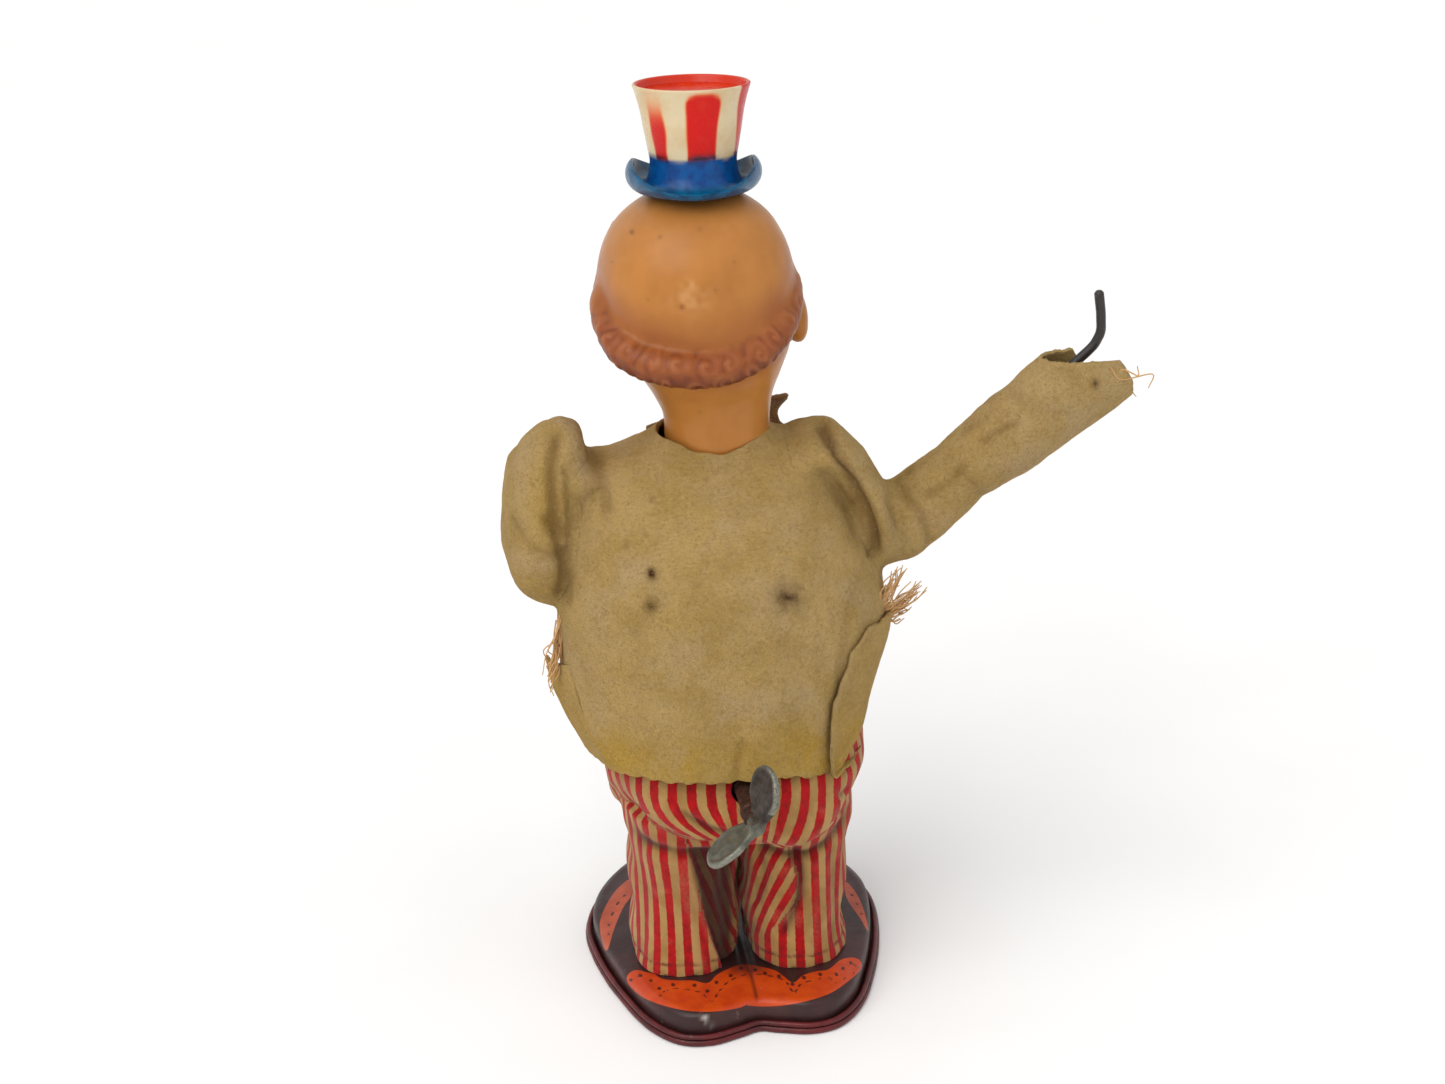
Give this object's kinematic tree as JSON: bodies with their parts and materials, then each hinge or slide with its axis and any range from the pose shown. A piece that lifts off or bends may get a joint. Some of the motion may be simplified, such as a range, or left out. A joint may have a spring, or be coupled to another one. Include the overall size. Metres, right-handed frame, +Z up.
{
  "type": "wind-up clown figure",
  "caption": "Wind-up tin figure in a felt shirt, striped trousers and a curled-brim top hat, standing on a shoe-shaped base, with a wire arm held up and a winding key at its back.",
  "frame": {"origin": "centre of the flat underside of the base, on the surface that the figure stands on", "axes": "+Z up through the figure, the figure faces -Y, its left hand is at +X, and the key points along +Y"},
  "size_m": [0.1688, 0.1218, 0.25],
  "materials": {
    "litho_tin": "lithographed, glossy, worn",
    "rim_tin": "lithographed rolled rim, worn",
    "bare_tin": "tinplate, satin",
    "steel": "satin",
    "spring_steel": "blued",
    "brass": "dull",
    "felt": "fuzzy felt",
    "striped_cotton": "woven stripe",
    "tie_felt": "fuzzy felt",
    "tan_vinyl": "glossy vinyl, stained",
    "hat_vinyl": "airbrushed glossy vinyl",
    "plug_wood": "turned, bare",
    "black_wire": "black, worn",
    "key_metal": "dull grey",
    "rusty_steel": "rusted"
  },
  "bodies": {
    "root": {"base_bottom_plate": "rim_tin", "base_shell": "litho_tin", "leg_left": "bare_tin", "leg_right": "bare_tin", "body_front_shell": "bare_tin", "body_back_shell": "bare_tin", "motor_front_plate": "bare_tin", "motor_back_plate": "bare_tin", "frame_pillar_1": "steel", "frame_pillar_2": "steel", "frame_pillar_3": "steel", "frame_pillar_4": "steel", "neck_bearing_bracket": "bare_tin", "mainspring": "spring_steel", "rocker_pivot_right": "steel", "rocker_pivot_left": "steel", "neck_collar": "bare_tin", "shirt": "felt", "sleeve_right_upper": "felt", "sleeve_left_upper": "felt", "trousers": "striped_cotton", "bow_tie": "tie_felt"},
    "great_wheel_body": {"great_wheel": "brass", "click_rivet": "steel", "click_spring": "spring_steel"},
    "key_body": {"winding_arbor": "steel", "key_shank": "rusty_steel", "key_bow": "key_metal", "ratchet_wheel": "steel"},
    "click_body": {"click_pawl": "steel"},
    "second_arbor_body": {"second_arbor": "steel", "second_pinion": "brass", "second_wheel": "brass"},
    "crank_body": {"crank_arbor": "steel", "crank_pinion": "brass", "third_wheel": "brass", "crank_disc": "steel"},
    "fly_body": {"fly_arbor": "steel", "fly_pinion": "brass", "fly_vane": "brass"},
    "right_arm": {"rocker_right": "steel", "arm_wire_right": "black_wire", "sleeve_right_forearm": "felt"},
    "left_arm": {"rocker_left": "steel", "arm_wire_left": "black_wire", "sleeve_left_forearm": "felt"},
    "rod_body": {"connecting_rod": "steel"},
    "link_body": {"cross_link": "steel"},
    "head_body": {"head_shaft": "steel", "head_lever": "steel", "head_plug": "plug_wood", "head": "tan_vinyl", "hat": "hat_vinyl"}
  },
  "joints": [
    {"name": "great_wheel_turn", "type": "hinge", "parent": "root", "child": "great_wheel_body", "pos_m": [0, 0, 0.07], "axis": [0, 1, 0], "continuous": true},
    {"name": "key_wind", "type": "hinge", "parent": "great_wheel_body", "child": "key_body", "pos_m": [0, 0, 0.07], "axis": [0, 1, 0], "continuous": true},
    {"name": "click_lift", "type": "hinge", "parent": "great_wheel_body", "child": "click_body", "pos_m": [-0.009, 0, 0.0658], "axis": [0, 1, 0], "range_deg": [-10, 0]},
    {"name": "second_arbor_turn", "type": "hinge", "parent": "root", "child": "second_arbor_body", "pos_m": [0.009, 0, 0.08507], "axis": [0, 1, 0], "continuous": true},
    {"name": "crank_turn", "type": "hinge", "parent": "root", "child": "crank_body", "pos_m": [0, 0, 0.09472], "axis": [0, 1, 0], "continuous": true},
    {"name": "fly_turn", "type": "hinge", "parent": "root", "child": "fly_body", "pos_m": [-0.007, 0, 0.10447], "axis": [0, 1, 0], "continuous": true},
    {"name": "right_arm_swing", "type": "hinge", "parent": "root", "child": "right_arm", "pos_m": [-0.018, 0, 0.126], "axis": [0, 1, 0], "range_deg": [-18, 4]},
    {"name": "left_arm_swing", "type": "hinge", "parent": "root", "child": "left_arm", "pos_m": [0.018, 0, 0.126], "axis": [0, 1, 0], "range_deg": [-18, 4]},
    {"name": "connecting_rod_pivot", "type": "hinge", "parent": "right_arm", "child": "rod_body", "pos_m": [-0.00708, 0, 0.12466], "axis": [0, 1, 0], "range_deg": [-4, 18]},
    {"name": "cross_link_pivot", "type": "hinge", "parent": "right_arm", "child": "link_body", "pos_m": [-0.01612, 0, 0.14129], "axis": [0, 1, 0], "range_deg": [-4, 18]},
    {"name": "head_turn", "type": "hinge", "parent": "root", "child": "head_body", "pos_m": [0, 0, 0.15], "axis": [0, 0, 1], "range_deg": [-37.8, 8.4]}
  ],
  "couplings": [
    {"joint": "second_arbor_turn", "follows": "great_wheel_turn", "ratio": -3.5},
    {"joint": "crank_turn", "follows": "great_wheel_turn", "ratio": 10.5},
    {"joint": "fly_turn", "follows": "great_wheel_turn", "ratio": -31.5},
    {"joint": "left_arm_swing", "follows": "right_arm_swing", "ratio": 1},
    {"joint": "connecting_rod_pivot", "follows": "right_arm_swing", "ratio": -1},
    {"joint": "cross_link_pivot", "follows": "right_arm_swing", "ratio": -1},
    {"joint": "head_turn", "follows": "right_arm_swing", "ratio": 2.1}
  ]
}
